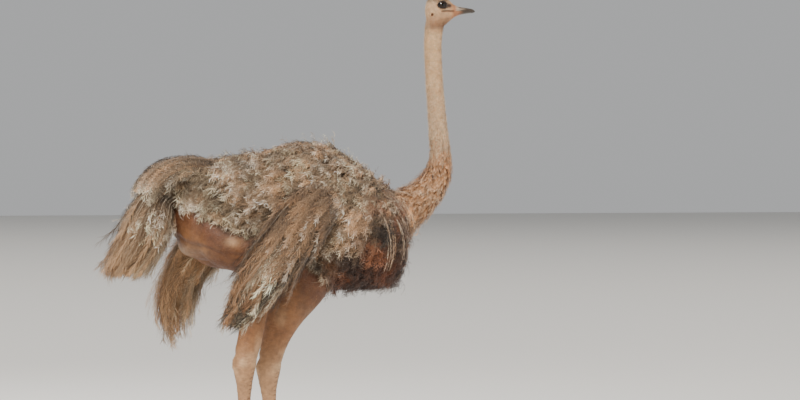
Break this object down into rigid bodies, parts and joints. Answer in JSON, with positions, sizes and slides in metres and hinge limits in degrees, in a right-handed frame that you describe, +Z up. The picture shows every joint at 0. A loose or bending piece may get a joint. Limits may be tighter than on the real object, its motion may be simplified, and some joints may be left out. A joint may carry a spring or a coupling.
{
  "type": "ostrich figure",
  "caption": "Life-size still figure of a standing ostrich hen with shaggy grey-brown plumage, drooped wings, a bare flank and a raised neck.",
  "frame": {"origin": "on the floor, under the middle of the bird's bounding box", "axes": "+X the way the bird faces, +Y its left side, +Z up"},
  "size_m": [1.4536, 0.8282, 1.8901],
  "materials": {
    "plumage": "loose shaggy feathers, grey-brown with pale tips",
    "plume_tan": "long soft plumes, tan with silver-grey streaks",
    "down": "short pale bristly down over skin",
    "skin": "bare tan skin, matt with fine creases",
    "scale": "pale scuted leg skin, matt",
    "horn": "smooth horn with a dark tip",
    "claw": "dark smooth horn",
    "eye": "wet gloss, near black"
  },
  "bodies": {
    "root": {"trunk": "plumage", "tail": "plume_tan", "wing_right": "plume_tan", "wing_left": "plume_tan", "neck_base": "down", "neck_middle": "down", "neck_upper": "down", "head": "down", "bill_upper": "horn", "bill_lower": "horn", "eye_right": "eye", "eye_left": "eye", "ear_right": "skin", "ear_left": "skin", "thigh_right": "skin", "thigh_left": "skin", "drumstick_right": "skin", "drumstick_left": "skin", "shank_right": "scale", "shank_left": "scale", "toe_middle_right": "scale", "toe_middle_left": "scale", "toe_outer_right": "scale", "toe_outer_left": "scale", "claw_middle_right": "claw", "claw_middle_left": "claw", "claw_outer_right": "claw", "claw_outer_left": "claw"}
  },
  "joints": []
}
